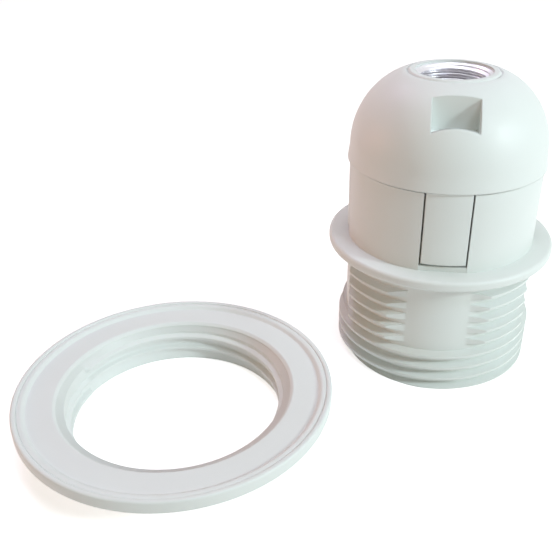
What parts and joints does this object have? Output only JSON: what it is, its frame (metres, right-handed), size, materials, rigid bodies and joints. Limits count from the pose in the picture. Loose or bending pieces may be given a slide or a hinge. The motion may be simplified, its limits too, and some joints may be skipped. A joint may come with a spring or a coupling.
{
  "type": "lamp holder",
  "caption": "Edison screw lamp holder with a domed latched cap, a plated entry bush and a flanged sleeve whose shade thread is broken by gaps; its shade ring lies beside it.",
  "frame": {"origin": "on the holder's axis in the plane of its lamp end, which stands on the floor", "axes": "+Z along the holder's axis, from the lamp end to the cable entry; -Y towards the notch and the latch tongue that face the camera; +X to the right of these"},
  "size_m": [0.0971, 0.0852, 0.0571],
  "materials": {
    "white_moulding": "satin moulded thermoplastic",
    "inner_moulding": "matt moulded thermoplastic",
    "plated_bush": "nickel plated, turned and threaded",
    "drawn_shell": "drawn sheet, nickel plated",
    "contact_brass": "stamped strip",
    "terminal_brass": "extruded and sawn",
    "screw_steel": "zinc plated",
    "rivet_steel": "zinc plated, upset"
  },
  "bodies": {
    "holder": {"threaded_sleeve": "white_moulding", "contact_carrier": "inner_moulding", "screw_shell": "drawn_shell", "centre_leaf": "contact_brass", "neutral_strip": "contact_brass", "neutral_rivet": "rivet_steel", "shell_rivet": "rivet_steel", "live_terminal": "terminal_brass", "neutral_terminal": "terminal_brass", "shade_ring": "white_moulding"},
    "cap": {"dome_cap": "white_moulding", "entry_bush": "plated_bush"},
    "centre_contact": {"centre_button": "contact_brass"},
    "live_clamp": {"live_clamp_plate": "screw_steel"},
    "live_screw": {"live_terminal_screw": "screw_steel"},
    "neutral_clamp": {"neutral_clamp_plate": "screw_steel"},
    "neutral_screw": {"neutral_terminal_screw": "screw_steel"}
  },
  "joints": [
    {"name": "cap_lift", "type": "slide", "parent": "holder", "child": "cap", "axis": [0, 0, 1], "range_m": [0, 0.022]},
    {"name": "centre_contact_press", "type": "slide", "parent": "holder", "child": "centre_contact", "axis": [0, 0, 1], "range_m": [0, 0.0012], "stiffness_N_per_m": 2000, "deforming": ["centre_leaf"]},
    {"name": "live_clamp_travel", "type": "slide", "parent": "holder", "child": "live_clamp", "axis": [0, 0, -1], "range_m": [0, 0.001]},
    {"name": "live_screw_turn", "type": "hinge", "parent": "live_clamp", "child": "live_screw", "pos_m": [-0.0078, 0, 0.035], "axis": [0, 0, -1], "range_deg": [0, 720]},
    {"name": "neutral_clamp_travel", "type": "slide", "parent": "holder", "child": "neutral_clamp", "axis": [0, 0, -1], "range_m": [0, 0.001]},
    {"name": "neutral_screw_turn", "type": "hinge", "parent": "neutral_clamp", "child": "neutral_screw", "pos_m": [0.0078, 0, 0.035], "axis": [0, 0, -1], "range_deg": [0, 720]}
  ],
  "couplings": [
    {"joint": "live_screw_turn", "follows": "live_clamp_travel", "rad_per_m": 12566},
    {"joint": "neutral_screw_turn", "follows": "neutral_clamp_travel", "rad_per_m": 12566}
  ]
}
